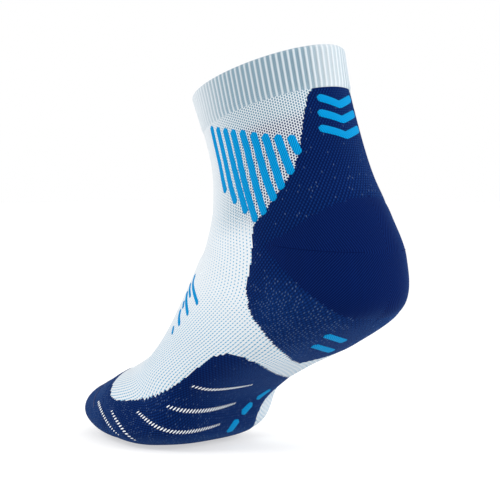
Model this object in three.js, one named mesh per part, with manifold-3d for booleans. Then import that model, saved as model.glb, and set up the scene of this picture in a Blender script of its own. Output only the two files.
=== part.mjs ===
// Short-cut compression running sock for a left foot, filled by a foot that pushes off from the ball.
// Millimetres, +Z up, toes towards -X, heel towards +X, outer (little-toe) side towards -Y.
// The origin is on the ground under the ball joint.
import * as THREE from "three";
import { mergeVertices } from "three/addons/utils/BufferGeometryUtils.js";
import Module from "manifold-3d";

const wasm = await Module();
wasm.setup();

// Pose of the foot inside.
const HEEL_LIFT = 27; // degrees between the rear sole and the ground
const LEG_LEAN = 15; // degrees the leg leans towards the toes
const BALL_HEIGHT = 14; // toe hinge above the ground
const ANKLE_BACK = 132; // ankle hinge behind the toe hinge, along the sole
const ANKLE_UP = 76; // ankle hinge above the neutral sole

// Fabric.
const WALL = 1.5; // knit of the leg and foot
const GAP = 0.35; // clearance between a piece and what lies over or under it
const SIDE_GAP = 0.6; // clearance between two zones of one layer
const CUFF_PLY = 0.9; // one ply of the folded cuff
const ELASTIC_PLY = 0.6; // covered elastic yarn between the two plies
const TERRY = 1.7; // terry loops of the cushions
const MARK = 0.6; // raised coloured ribs
const MARK_GAP = 0.5; // clearance under them
const CUSHION_GAP = 0.7; // clearance behind the outer knit
const HEEL_GAP = 0.85; // clearance round the heel pouch
const TOOL_REACH = 2; // how far a cutting shape stands out of both faces of the knit

// Cross-sections from the mouth to the toes. Each row gives the hinge frame that carries it (L leg, R rear
// foot, F forefoot), its front or top point, its back or sole point, half width, height share of the widest
// point, roundness of the two halves, sideways offset and skew of the metatarsal line.
// prettier-ignore
const SECTIONS = [
  ["L", -49, 75, 49, 77, 33, 0.5, 2, 2, 0, 0],
  ["L", -45, 53, 47, 56, 34, 0.5, 2, 2, 0, 0],
  ["L", -44, 32, 47, 34, 34, 0.5, 2, 2.1, 0, 0],
  ["L", -49, 11, 50, 10, 36, 0.5, 2, 2.1, 0, 0],
  ["L", -59, -5, 57, -14, 38, 0.48, 2, 2.1, 0, 0],
  ["R", 62, 81, 182, 26, 40, 0.42, 2, 2.2, 0, 0],
  ["R", 52, 75, 167, 5, 40, 0.4, 2, 2.3, 0, 0],
  ["R", 41, 68, 124, 3, 41, 0.4, 2, 2.5, 0, 0],
  ["R", 29, 60, 82, 6, 42, 0.4, 2, 2.5, 0, 0],
  ["R", 16, 53, 50, 4, 45, 0.38, 2, 2.6, 1, 0.08],
  ["R", 2, 48, 27, -9, 48, 0.36, 2, 2.8, 2, 0.14],
  ["F", -17, 43, 4, -1, 49, 0.36, 2.1, 3, 2, 0.18],
  ["F", -34, 39, -24, -1, 45, 0.38, 2.2, 3, 3, 0.25],
  ["F", -51, 33, -46, 0.5, 38, 0.42, 2.2, 2.8, 4, 0.3],
  ["F", -67, 25, -64, 4, 27, 0.46, 2, 2.2, 5, 0.35],
  ["F", -76, 14, -76, 9, 5, 0.5, 2, 2, 7, 0.35],
];

// Where the pieces end, counted in sections from the mouth.
const CUFF_END = 1.0;
const LEG_END = 3.0;
const ANKLE_END = 4.7;
const HEEL_END = 7.5;
const MID_END = 9.2;
const BALL_END = 11.0;
const TONGUE_END = 12.0;
const SEAM = 0.012; // half of the seam between two rings, in sections
const INSTEP_SEAM = 0.035; // the same at the fold of the instep, where the sections crowd together

// Half width of the navy heel panel round the back centre line, as a share of the girth.
// prettier-ignore
const HEEL_HALF = [
  [1, 0.07], [2, 0.1], [2.8, 0.135], [3.3, 0.175], [3.9, 0.235], [5, 0.24],
  [5.9, 0.24], [6.4, 0.205], [6.7, 0.155], [7.1, 0.09], [7.5, 0.025],
];
// Upper edge of the navy forefoot on the outer side, as a share of the girth from the top centre line.
// prettier-ignore
const TONGUE_HALF = [
  [7.5, 0.33], [7.8, 0.315], [8.8, 0.303], [9.2, 0.288], [9.5, 0.265], [10, 0.238],
  [10.5, 0.223], [11.3, 0.205], [11.6, 0.19], [12, 0.165],
];
const WING_UNDER = [
  [7.5, 0.38],
  [7.8, 0.44],
  [8.1, 0.5],
  [8.8, 0.54],
  [9.2, 0.56],
];
const INNER_WING_START = 8.3;
const INNER_WING_UNDER = [
  [8.3, 0.675],
  [9.2, 0.64],
];

const COLOURS = {
  pale: 0xdde7ee,
  rib: 0xd3e0e8,
  navy: 0x12285c,
  bright: 0x0f95d2,
  white: 0xf2f5f7,
  elastic: 0xb9cdd8,
};

const rad = THREE.MathUtils.degToRad;

function rearPoint(a, b) {
  const c = Math.cos(rad(HEEL_LIFT));
  const s = Math.sin(rad(HEEL_LIFT));
  const h = b - BALL_HEIGHT;
  return [a * c - h * s, BALL_HEIGHT + a * s + h * c];
}

// A point of one hinge frame in the posed side view.
function posed(frame, a, b) {
  if (frame === "F") return [a, b];
  if (frame === "R") return rearPoint(a, b);
  const [x, z] = rearPoint(ANKLE_BACK, ANKLE_UP);
  const c = Math.cos(rad(LEG_LEAN));
  const s = Math.sin(rad(LEG_LEAN));
  return [x + a * c - b * s, z + a * s + b * c];
}

const TABLE = SECTIONS.map(([frame, ta, tb, ba, bb, ...rest]) => [
  ...posed(frame, ta, tb),
  ...posed(frame, ba, bb),
  ...rest,
]);

function spline(p0, p1, p2, p3, f) {
  const a = 2 * p1 + (p2 - p0) * f;
  const b = (2 * p0 - 5 * p1 + 4 * p2 - p3) * f * f;
  const c = (3 * p1 - p0 - 3 * p2 + p3) * f * f * f;
  return 0.5 * (a + b + c);
}

function section(v) {
  const last = TABLE.length - 1;
  const i = Math.min(Math.max(Math.floor(v), 0), last - 1);
  const row = (k, n) => {
    if (k < 0) return 2 * TABLE[0][n] - TABLE[1][n];
    if (k > last) return 2 * TABLE[last][n] - TABLE[last - 1][n];
    return TABLE[k][n];
  };
  return TABLE[0].map((_, n) =>
    spline(row(i - 1, n), row(i, n), row(i + 1, n), row(i + 2, n), v - i),
  );
}

// One point of a section at an angle round it: 0 at the front or top, a quarter turn on the outer side.
function rim(row, angle) {
  const [tx, tz, bx, bz, w, q, nt, nb, side, skew] = row;
  const c = Math.cos(angle);
  const s = Math.sin(angle);
  const n = 2 / (c > 0 ? nt : nb);
  const up = Math.sign(c) * Math.abs(c) ** n;
  const out = Math.sign(s) * Math.abs(s) ** n;
  const mx = bx + q * (tx - bx);
  const mz = bz + q * (tz - bz);
  const y = side - out * w;
  const x = mx + up * (c > 0 ? tx - mx : mx - bx) - skew * y;
  const z = mz + up * (c > 0 ? tz - mz : mz - bz);
  return new THREE.Vector3(x, y, Math.max(z, 0));
}

const STEPS = 120;
const rings = new Map();

// A section with the running length round each half.
function ring(v) {
  const key = Math.round(v * 1e5);
  if (rings.has(key)) return rings.get(key);
  const row = section(v);
  const points = [];
  const lengths = [0];
  for (let k = 0; k <= 2 * STEPS; k++) {
    points.push(rim(row, (Math.PI * k) / STEPS));
    if (k) lengths.push(lengths[k - 1] + points[k].distanceTo(points[k - 1]));
  }
  const made = { points, lengths, girth: lengths[2 * STEPS] };
  rings.set(key, made);
  return made;
}

// The fabric's outer face: u is the share of the girth from the front, v counts sections.
function face(u, v) {
  const { points, lengths, girth } = ring(v);
  const turn = u - Math.floor(u);
  const half = turn < 0.5 ? 0 : 1;
  const from = lengths[half * STEPS];
  const to = half ? girth : lengths[STEPS];
  const want = from + (turn * 2 - half) * (to - from);
  let low = half * STEPS;
  let high = low + STEPS;
  while (high - low > 1) {
    const mid = (low + high) >> 1;
    if (lengths[mid] <= want) low = mid;
    else high = mid;
  }
  const share = (want - lengths[low]) / (lengths[high] - lengths[low]);
  return points[low].clone().lerp(points[high], share);
}

function skin(u, v, depth) {
  const p = face(u, v);
  const along = face(u, v + 0.04).sub(face(u, v - 0.04));
  const round = face(u + 0.006, v).sub(face(u - 0.006, v));
  return p.addScaledVector(round.cross(along).normalize(), depth);
}

function stop(list, v) {
  const k = list.findIndex(([at]) => at >= v);
  if (k === 0) return list[0][1];
  if (k < 0) return list[list.length - 1][1];
  const [[v0, a], [v1, b]] = [list[k - 1], list[k]];
  return a + ((b - a) * (v - v0)) / (v1 - v0);
}

function closed(points, faces) {
  const geometry = new THREE.BufferGeometry();
  const flat = points.flatMap((p) => [p.x, p.y, p.z]);
  geometry.setAttribute("position", new THREE.Float32BufferAttribute(flat, 3));
  const volume = faces.reduce((sum, [a, b, c]) => {
    const normal = points[b].clone().cross(points[c]);
    return sum + points[a].dot(normal);
  }, 0);
  const turned = volume < 0 ? faces.map(([a, b, c]) => [a, c, b]) : faces;
  geometry.setIndex(turned.flat());
  return geometry;
}

// A piece of fabric: map turns a cell of the piece into u and v.
function patch(map, across, along, outer = 0, inner = WALL) {
  const points = [];
  const faces = [];
  const side = (across + 1) * (along + 1);
  for (const depth of [outer, inner])
    for (let j = 0; j <= along; j++)
      for (let i = 0; i <= across; i++) {
        const [u, v] = map(i / across, j / along);
        points.push(skin(u, v, depth));
      }
  const at = (i, j, k) => k * side + j * (across + 1) + i;
  const quad = (a, b, c, d) => faces.push([a, b, c], [a, c, d]);
  for (let j = 0; j < along; j++)
    for (let i = 0; i < across; i++) {
      quad(at(i, j, 0), at(i + 1, j, 0), at(i + 1, j + 1, 0), at(i, j + 1, 0));
      quad(at(i, j, 1), at(i, j + 1, 1), at(i + 1, j + 1, 1), at(i + 1, j, 1));
    }
  for (let i = 0; i < across; i++) {
    quad(at(i, 0, 0), at(i, 0, 1), at(i + 1, 0, 1), at(i + 1, 0, 0));
    const j = along;
    quad(at(i, j, 0), at(i + 1, j, 0), at(i + 1, j, 1), at(i, j, 1));
  }
  for (let j = 0; j < along; j++) {
    quad(at(0, j, 0), at(0, j + 1, 0), at(0, j + 1, 1), at(0, j, 1));
    const i = across;
    quad(at(i, j, 0), at(i, j, 1), at(i, j + 1, 1), at(i, j + 1, 0));
  }
  return closed(points, faces);
}

// A closed strip swept once round the leg or foot. Its profile is a list of [v, depth].
function band(profile, round) {
  const points = [];
  const faces = [];
  const n = profile.length;
  for (let i = 0; i < round; i++)
    for (const [v, depth] of profile) points.push(skin(i / round, v, depth));
  for (let i = 0; i < round; i++)
    for (let k = 0; k < n; k++) {
      const a = i * n + k;
      const b = i * n + ((k + 1) % n);
      const c = ((i + 1) % round) * n + ((k + 1) % n);
      const d = ((i + 1) % round) * n + k;
      faces.push([a, b, c], [a, c, d]);
    }
  return closed(points, faces);
}

// A ring of knit between two sections.
function tube(v0, v1, rows, round, outer = 0, inner = WALL) {
  const profile = [];
  for (let j = 0; j <= rows; j++) profile.push([v0 + ((v1 - v0) * j) / rows, outer]);
  for (let j = rows; j >= 0; j--) profile.push([v0 + ((v1 - v0) * j) / rows, inner]);
  return band(profile, round);
}

function toSolid(geometry) {
  const bare = new THREE.BufferGeometry();
  const turned = geometry.index ? geometry.toNonIndexed() : geometry;
  bare.setAttribute("position", turned.getAttribute("position"));
  const merged = mergeVertices(bare, 1e-4);
  return new wasm.Manifold(
    new wasm.Mesh({
      numProp: 3,
      vertProperties: merged.attributes.position.array,
      triVerts: new Uint32Array(merged.index.array),
    }),
  );
}

// Knit with other zones cut out of it. Crumbs that the cut leaves at the seams are dropped.
function cut(geometry, ...tools) {
  const made = tools.reduce((left, tool) => left.subtract(toSolid(tool)), toSolid(geometry));
  const bodies = made.decompose().sort((a, b) => b.volume() - a.volume());
  const mesh = bodies[0].getMesh();
  const g = new THREE.BufferGeometry();
  g.setAttribute("position", new THREE.Float32BufferAttribute(mesh.vertProperties, 3));
  g.setIndex(Array.from(mesh.triVerts));
  return g;
}

const sock = new THREE.Group();
sock.name = "running_sock";

function add(name, geometry, colour, roughness = 0.9) {
  const material = new THREE.MeshStandardMaterial({
    color: COLOURS[colour],
    roughness,
    metalness: 0,
  });
  const mesh = new THREE.Mesh(geometry, material);
  mesh.name = name;
  sock.add(mesh);
}

// A zone between two side edges, given as functions of v, grown outwards by some millimetres.
function zone(v0, v1, left, right, across, along, grow = 0, outer = 0, inner = WALL) {
  const map = (s, t) => {
    const v = v0 + (v1 - v0) * t;
    const more = grow / ring(v).girth;
    const a = left(v) - more;
    const b = right(v) + more;
    return [a + (b - a) * s, v];
  };
  return patch(map, across, along, outer, inner);
}

const heelLeft = (v) => 0.5 - stop(HEEL_HALF, v);
const heelRight = (v) => 0.5 + stop(HEEL_HALF, v);
const padTop = (v) => stop(TONGUE_HALF, v);
const padFarTop = (v) => 1 - stop(TONGUE_HALF, v);
const wingUnder = (v) => stop(WING_UNDER, v);
const innerWingUnder = (v) => stop(INNER_WING_UNDER, v);
const frontLeft = (v) => heelRight(v) - 1;
const tongueLeft = (v) => -padTop(v);

function cuff() {
  const ply = CUFF_PLY;
  const back = 2 * CUFF_PLY + ELASTIC_PLY + 2 * GAP;
  // prettier-ignore
  const fold = [
    [CUFF_END, 0], [0.5, 0], [0.04, 0.1], [0, 0.5],
    [-0.01, back / 2], [0, back - 0.5], [0.04, back - 0.1], [0.5, back], [CUFF_END, back],
    [CUFF_END, back - ply], [0.5, back - ply], [0.07, back - ply], [0.07, ply],
    [0.5, ply], [CUFF_END, ply],
  ];
  add("cuff_welt", band(fold, 42), "rib");
  const outer = ply + GAP;
  add("cuff_elastic", tube(0.1, 0.95, 2, 42, outer, outer + ELASTIC_PLY), "elastic");
}

function leg() {
  const start = CUFF_END + 2 * SEAM;
  const end = LEG_END - SEAM;
  add("leg_panel", zone(start, end, frontLeft, heelLeft, 30, 8, -SIDE_GAP), "pale");
  add("achilles_panel", zone(start, end, heelLeft, heelRight, 12, 8), "navy");
  const inset = (edge, by) => (v) => edge(v) + by;
  const left = inset(heelLeft, 0.015);
  const right = inset(heelRight, -0.015);
  const from = WALL + CUSHION_GAP;
  add("achilles_cushion", zone(1.1, 2.9, left, right, 12, 9, 0, from, from + TERRY), "navy");
}

function ankle() {
  const start = LEG_END + SEAM;
  const end = ANKLE_END - SEAM;
  const fold = ANKLE_END - INSTEP_SEAM;
  add("ankle_flex_front", zone(start, fold, frontLeft, heelLeft, 22, 7, -SIDE_GAP), "pale");
  add("ankle_flex_back", zone(start, end, heelLeft, heelRight, 18, 7), "navy");
}

function rearFoot() {
  const start = ANKLE_END + SEAM;
  const end = MID_END - SEAM;
  const reach = WALL + TOOL_REACH;
  const heel = zone(4.6, HEEL_END + 0.02, heelLeft, heelRight, 20, 22, HEEL_GAP, -TOOL_REACH, reach);
  const wing = zone(7.53, 9.3, padTop, wingUnder, 14, 14, SIDE_GAP, -TOOL_REACH, reach);
  const wingFrom = INNER_WING_START - 0.02;
  const inner = zone(wingFrom, 9.3, innerWingUnder, padFarTop, 8, 8, SIDE_GAP, -TOOL_REACH, reach);
  add("midfoot_panel", cut(tube(start, end, 11, 38), heel, wing, inner), "pale");
  add("heel_pouch", zone(start, HEEL_END, heelLeft, heelRight, 20, 13), "navy");
  add("outer_wing", zone(7.55, end, padTop, wingUnder, 7, 7), "navy");
  add("inner_wing", zone(INNER_WING_START, end, innerWingUnder, padFarTop, 4, 4), "navy");
  const left = (v) => heelLeft(v) + 0.02;
  const right = (v) => heelRight(v) - 0.02;
  const from = WALL + CUSHION_GAP;
  add("heel_cushion", zone(4.8, 6.9, left, right, 18, 9, 0, from, from + TERRY), "navy");
}

function ball() {
  const start = MID_END + SEAM;
  const end = BALL_END - SEAM;
  add("ball_flex_top", zone(start, end, tongueLeft, padTop, 16, 6, -SIDE_GAP), "pale");
  add("ball_flex_sole", zone(start, end, padTop, padFarTop, 30, 6), "navy");
}

function foreFoot() {
  const start = BALL_END + SEAM;
  add("tongue_panel", zone(start, TONGUE_END - SEAM, tongueLeft, padTop, 14, 4, -SIDE_GAP), "pale");
  add("forefoot_pad", zone(start, TONGUE_END - SEAM, padTop, padFarTop, 36, 4), "navy");
  const from = WALL + CUSHION_GAP;
  const left = () => 0.34;
  const right = () => 0.66;
  add("forefoot_cushion", zone(11.05, 13.2, left, right, 14, 9, 0, from, from + TERRY), "navy");
}

// The toe end: a bag of knit closed at the tip.
function toeCap() {
  const start = TONGUE_END + SEAM;
  const rows = 8;
  const round = 34;
  const tip = 14.97;
  const points = [];
  const faces = [];
  for (const depth of [0, WALL])
    for (let j = 0; j <= rows; j++)
      for (let i = 0; i < round; i++) {
        const t = j / rows;
        const v = start + (tip - start) * (1 - (1 - t) ** 1.3);
        points.push(skin(i / round, v, depth));
      }
  const at = (i, j, k) => k * (rows + 1) * round + j * round + (i % round);
  for (let i = 0; i < round; i++) {
    for (let j = 0; j < rows; j++) {
      faces.push([at(i, j, 0), at(i + 1, j, 0), at(i + 1, j + 1, 0)]);
      faces.push([at(i, j, 0), at(i + 1, j + 1, 0), at(i, j + 1, 0)]);
      faces.push([at(i, j, 1), at(i + 1, j + 1, 1), at(i + 1, j, 1)]);
      faces.push([at(i, j, 1), at(i, j + 1, 1), at(i + 1, j + 1, 1)]);
    }
    faces.push([at(i, 0, 0), at(i, 0, 1), at(i + 1, 0, 1)]);
    faces.push([at(i, 0, 0), at(i + 1, 0, 1), at(i + 1, 0, 0)]);
  }
  for (const k of [0, 1]) {
    const middle = new THREE.Vector3();
    for (let i = 0; i < round; i++) middle.addScaledVector(points[at(i, rows, k)], 1 / round);
    points.push(middle);
    const m = points.length - 1;
    for (let i = 0; i < round; i++) {
      const [a, b] = [at(i, rows, k), at(i + 1, rows, k)];
      faces.push(k ? [a, m, b] : [a, b, m]);
    }
  }
  add("toe_cap", closed(points, faces), "navy");
}

// A raised coloured rib that follows a line of [u, v] stops.
function rib(name, line, width, colour, cells, body = MARK) {
  const curve = new THREE.CatmullRomCurve3(
    line.map(([u, v]) => new THREE.Vector3(u, v, 0)),
    false,
    "centripetal",
  );
  const map = (s, t) => {
    const p = curve.getPoint(t);
    const d = curve.getTangent(t);
    const girth = ring(p.y).girth;
    const rise = face(p.x, p.y + 0.05).distanceTo(face(p.x, p.y - 0.05)) / 0.1;
    const length = Math.hypot(d.x * girth, d.y * rise);
    const round = 0.35 + 0.65 * Math.sqrt(1 - Math.abs(2 * t - 1) ** 8);
    const off = (s - 0.5) * width * round;
    return [p.x - (off * d.y * rise) / length / girth, p.y + (off * d.x * girth) / length / rise];
  };
  add(name, patch(map, 2, cells, -MARK_GAP - body, -MARK_GAP), colour);
}

// Nine bright ribs on each side of the leg, longest in the middle.
function legRibs() {
  const tops = [
    [0.165, 1.1],
    [0.191, 1.22],
    [0.216, 1.33],
    [0.242, 1.44],
    [0.268, 1.55],
    [0.294, 1.68],
    [0.321, 1.82],
    [0.348, 1.93],
    [0.372, 2.02],
  ];
  const feet = [
    [0.192, 2.8],
    [0.215, 2.9],
    [0.239, 2.95],
    [0.264, 2.95],
    [0.29, 2.95],
    [0.314, 2.95],
    [0.337, 2.9],
    [0.355, 2.7],
    [0.372, 2.45],
  ];
  tops.forEach(([u, v], k) => {
    const [a, b] = feet[k];
    const width = 2.2 + 0.28 * k;
    rib("outer_rib_" + (k + 1), [[u, v], [a, b]], width, "bright", 6);
    rib("inner_rib_" + (k + 1), [[1 - u, v], [1 - a, b]], width, "bright", 6);
  });
}

// Three plain chevrons at the back of the leg.
function chevrons() {
  for (let k = 0; k < 3; k++) {
    const v = 1.35 + 0.4 * k;
    const reach = 0.045 + 0.006 * k;
    const line = [
      [0.5 - reach, v],
      [0.5, v + 0.22],
      [0.5 + reach, v],
    ];
    rib("back_chevron_" + (k + 1), line, 4, "bright", 10);
  }
}

// Short flex ribs on both sides of the instep.
function instepRibs() {
  const lines = [
    [0.07, 5.75, 0.15, 6.35],
    [0.085, 6.2, 0.155, 6.75],
    [0.1, 6.7, 0.16, 7.2],
    [0.12, 7.2, 0.165, 7.65],
  ];
  lines.forEach(([u0, v0, u1, v1], k) => {
    rib("outer_instep_rib_" + (k + 1), [[u0, v0], [u1, v1]], 2, "bright", 5);
    rib("inner_instep_rib_" + (k + 1), [[1 - u0, v0], [1 - u1, v1]], 2, "bright", 5);
  });
}

function gores() {
  const line = [
    [0.3, 4.78],
    [0.35, 4.86],
    [0.4, 4.93],
    [0.46, 4.97],
  ];
  rib("outer_gore_seam", line, 1.2, "navy", 10);
  const mirrored = line.map(([u, v]) => [1 - u, v]);
  rib("inner_gore_seam", mirrored, 1.2, "navy", 10);
}

// White arcs that sweep round the outer edge of the ball, and the plain bars beside them.
function forefootMarks() {
  const arcs = [
    [[0.343, 8.68], [0.4, 8.62], [0.482, 8.48]],
    [[0.318, 9.38], [0.365, 9.4], [0.48, 9.26]],
    [[0.265, 10.12], [0.36, 9.9], [0.46, 9.7]],
    [[0.245, 11.1], [0.28, 11.08], [0.32, 11.1]],
    [[0.222, 12.2], [0.25, 12.1], [0.29, 12.1]],
  ];
  arcs.forEach((line, k) => rib("white_arc_" + (k + 1), line, 1.6, "white", 8, 0.4));
  for (let k = 0; k < 3; k++) {
    const v = 7.95 + 0.42 * k;
    const u = 0.53 - 0.012 * k;
    rib("side_bar_" + (k + 1), [[u, v], [u - 0.005, v + 0.3]], 3.6, "bright", 3, 0.4);
  }
  for (let k = 0; k < 2; k++) {
    const v = 6.75 + 0.22 * k;
    rib("size_bar_" + (k + 1), [[0.47, v], [0.53, v]], 2.6, "bright", 3, 0.4);
  }
}

function toeSeam() {
  const line = [
    [-0.22, 12.7],
    [-0.12, 12.95],
    [0, 13],
    [0.12, 12.95],
    [0.22, 12.7],
  ];
  rib("toe_seam", line, 1.3, "navy", 20, 0.7);
}

cuff();
leg();
ankle();
rearFoot();
ball();
foreFoot();
toeCap();
toeSeam();
gores();
legRibs();
chevrons();
instepRibs();
forefootMarks();

export default sock;
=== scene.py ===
"""Looks of a short-cut compression running sock for a left foot, filled by a foot that pushes off.

The sock's own lengths are millimetres until a mesh is made. Everything in Blender is metres.
A spot on the knit is (u, v): u is the share of the girth from the front centre line round the outer
side, and v counts cross-sections from the mouth to the toe tip.
"""

import math

import bpy
import numpy as np
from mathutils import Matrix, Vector


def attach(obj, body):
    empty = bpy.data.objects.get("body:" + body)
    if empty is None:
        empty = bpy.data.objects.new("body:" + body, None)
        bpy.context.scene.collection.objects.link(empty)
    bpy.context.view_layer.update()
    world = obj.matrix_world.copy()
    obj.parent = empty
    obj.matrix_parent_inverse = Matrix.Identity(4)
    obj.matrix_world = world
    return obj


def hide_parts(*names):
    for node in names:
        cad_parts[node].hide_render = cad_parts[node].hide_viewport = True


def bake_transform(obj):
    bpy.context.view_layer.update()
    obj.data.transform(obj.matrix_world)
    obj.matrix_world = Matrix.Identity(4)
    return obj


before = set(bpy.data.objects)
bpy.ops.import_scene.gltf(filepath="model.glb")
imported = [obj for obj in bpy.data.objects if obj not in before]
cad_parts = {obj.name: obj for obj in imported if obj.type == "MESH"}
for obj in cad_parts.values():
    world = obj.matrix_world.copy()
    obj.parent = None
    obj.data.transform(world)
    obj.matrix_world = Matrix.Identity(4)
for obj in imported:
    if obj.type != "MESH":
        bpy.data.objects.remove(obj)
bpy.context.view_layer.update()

MM = 0.001

# ---------------------------------------------------------------- shape of the filled sock

HEEL_LIFT = math.radians(27)
LEG_LEAN = math.radians(15)
BALL_HEIGHT = 14.0
ANKLE_BACK = 132.0
ANKLE_UP = 76.0
WALL = 1.5
NAVY_LIFT = 0.35  # how far the plated navy knit stands out of the pale knit

# Each cross-section, from the mouth to the toe tip: its hinge frame (leg, rear foot or forefoot), its
# front or top point, its back or sole point, its half width, how far up the widest point is, how full
# the top and the bottom are rounded, and its sideways offset and skew.
SECTIONS = [
    ("L", -49, 75, 49, 78.3, 33, 0.5, 2, 2, 0, 0),
    ("L", -44.3, 53, 47, 56, 34, 0.5, 2, 2, 0, 0),
    ("L", -43, 32, 47, 34, 34, 0.5, 2, 2.1, 0, 0),
    ("L", -47.8, 11, 50, 10, 36, 0.5, 2, 2.1, 0, 0),
    ("L", -59, -5, 57, -14, 38, 0.48, 2, 2.1, 0, 0),
    ("R", 64.5, 80.6, 182, 26, 40, 0.42, 2, 2.2, 0, 0),
    ("R", 52.2, 74.4, 167.5, 4, 40, 0.4, 2, 2.3, 0, 0),
    ("R", 40.2, 65.2, 124, 1.4, 41, 0.4, 2, 2.5, 0, 0),
    ("R", 28.8, 56.4, 82, 4.8, 42, 0.37, 2, 2.5, 0, 0),
    ("R", 17.2, 51.6, 50, 3.6, 45, 0.38, 2, 2.6, 1, 0.08),
    ("R", 3.4, 51.2, 27, -9, 48, 0.36, 2, 2.8, 2, 0.14),
    ("F", -23.5, 43.2, 4, -1, 49, 0.36, 2.1, 3, 2, 0.18),
    ("F", -34, 39.2, -24, -1, 45, 0.38, 2.2, 3, 3, 0.25),
    ("F", -51, 31.4, -46, 0.5, 38, 0.42, 2.2, 2.8, 4, 0.3),
    ("F", -67.3, 25, -65, 4, 27.4, 0.46, 2, 2.2, 5, 0.35),
    ("F", -75.6, 16.5, -75.6, 8.2, 8.5, 0.5, 2, 2, 7, 0.35),
]


def rear_point(a, b):
    """A point of the rear foot's frame, which is lifted about the ball."""
    h = b - BALL_HEIGHT
    c, s = math.cos(HEEL_LIFT), math.sin(HEEL_LIFT)
    return a * c - h * s, BALL_HEIGHT + a * s + h * c


def posed(hinge, a, b):
    """The (x, z) of a point given in its hinge frame."""
    if hinge == "F":
        return a, b
    if hinge == "R":
        return rear_point(a, b)
    x, z = rear_point(ANKLE_BACK, ANKLE_UP)
    c, s = math.cos(LEG_LEAN), math.sin(LEG_LEAN)
    return x + a * c - b * s, z + a * s + b * c


def between(p0, p1, p2, p3, share):
    """The place between p1 and p2 on a smooth curve that passes through all four."""
    return 0.5 * (
        2 * p1
        + (p2 - p0) * share
        + (2 * p0 - 5 * p1 + 4 * p2 - p3) * share**2
        + (3 * p1 - p0 - 3 * p2 + p3) * share**3
    )


ROWS = np.array([(*posed(r[0], r[1], r[2]), *posed(r[0], r[3], r[4]), *r[5:]) for r in SECTIONS])
PADDED_ROWS = np.vstack([2 * ROWS[0] - ROWS[1], ROWS, 2 * ROWS[-1] - ROWS[-2]])


def section(v):
    """The cross-section rows at v, on a smooth curve through the given ones."""
    v = np.asarray(v, float)
    i = np.clip(np.floor(v).astype(int), 0, len(ROWS) - 2)
    return between(*(PADDED_ROWS[i + k] for k in range(4)), (v - i)[:, None])


def rim(rows, angle):
    """Points round each cross-section: angle 0 at the front or top, a quarter turn on the outer side."""
    columns = (rows[:, k : k + 1] for k in range(10))
    top_x, top_z, low_x, low_z, half_width, widest, top_full, low_full, side, skew = columns
    c, s = np.cos(angle)[None, :], np.sin(angle)[None, :]
    power = 2 / np.where(c > 0, top_full, low_full)
    up = np.sign(c) * np.abs(c) ** power
    out = np.sign(s) * np.abs(s) ** power
    mid_x, mid_z = low_x + widest * (top_x - low_x), low_z + widest * (top_z - low_z)
    y = side - out * half_width
    x = mid_x + up * np.where(c > 0, top_x - mid_x, mid_x - low_x) - skew * y
    z = mid_z + up * np.where(c > 0, top_z - mid_z, mid_z - low_z)
    return np.stack([x, y, np.maximum(z, 0)], axis=-1)


FIRST_V, LAST_V, V_STEP = -0.4, 15.0, 0.02
U_COUNT = 480
HALF_RING = 120


def knit_face():
    """A fine table of the sock's outer face and its outward normals, and each ring's girth."""
    v = np.arange(round((LAST_V - FIRST_V) / V_STEP) + 1) * V_STEP + FIRST_V
    ring = rim(section(v), np.pi * np.arange(2 * HALF_RING + 1) / HALF_RING)
    length = np.linalg.norm(np.diff(ring, axis=1), axis=2).cumsum(axis=1)
    length = np.hstack([np.zeros((len(v), 1)), length])
    share = np.arange(U_COUNT + 1) / U_COUNT
    points = np.zeros((len(v), U_COUNT + 1, 3))
    for k in range(len(v)):
        half, full = length[k, HALF_RING], length[k, -1]
        want = np.where(share < 0.5, 2 * share * half, half + (2 * share - 1) * (full - half))
        for axis in range(3):
            points[k, :, axis] = np.interp(want, length[k], ring[k, :, axis])
    along = np.gradient(points, axis=0)
    loop = np.concatenate([points[:, -4:-1], points, points[:, 1:4]], axis=1)
    around = (loop[:, 6:] - loop[:, :-6]) / 6
    normal = np.cross(along, around)
    normal /= np.maximum(np.linalg.norm(normal, axis=2, keepdims=True), 1e-9)
    return points, normal, length[:, -1]


FACE, NORMAL, GIRTH = knit_face()


def looked_up(table, u, v):
    """A table's value at (u, v), mixed from the four entries round it."""
    u, v = np.broadcast_arrays(np.asarray(u, float), np.asarray(v, float))
    x = (u % 1.0) * U_COUNT
    y = np.clip((v - FIRST_V) / V_STEP, 0, len(table) - 1.001)
    i, j = x.astype(int), y.astype(int)
    fx, fy = (x - i)[..., None], (y - j)[..., None]
    low = table[j, i] * (1 - fx) + table[j, i + 1] * fx
    high = table[j + 1, i] * (1 - fx) + table[j + 1, i + 1] * fx
    return low * (1 - fy) + high * fy


def outward(u, v):
    """The direction that points out of the knit at (u, v)."""
    n = looked_up(NORMAL, u, v)
    return n / np.linalg.norm(n, axis=-1, keepdims=True)


def spot(u, v, out=0.0):
    """The point that stands out of the knit by some millimetres at (u, v)."""
    return looked_up(FACE, u, v) + outward(u, v) * np.asarray(out, float)[..., None]


def girth(v):
    """The length round the sock at v, in millimetres."""
    return np.interp(v, FIRST_V + V_STEP * np.arange(len(GIRTH)), GIRTH)


def smooth(low, high, x):
    """Eases from 0 at low to 1 at high."""
    t = np.clip((np.asarray(x, float) - low) / (high - low), 0, 1)
    return t * t * (3 - 2 * t)


SPAN = 8  # points in each span of a rounded outline


def rounded(points, per=SPAN):
    """A smooth open line through the points."""
    p = np.asarray(points, float)
    p = np.vstack([2 * p[0] - p[1], p, 2 * p[-1] - p[-2]])
    share = np.arange(per)[:, None] / per
    spans = [between(*p[k : k + 4], share) for k in range(len(p) - 3)]
    return np.vstack([*spans, p[-2]])


# ---------------------------------------------------------------- meshes


def new_object(name, data):
    made = bpy.data.objects.new(name, data)
    bpy.context.scene.collection.objects.link(made)
    return made


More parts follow.
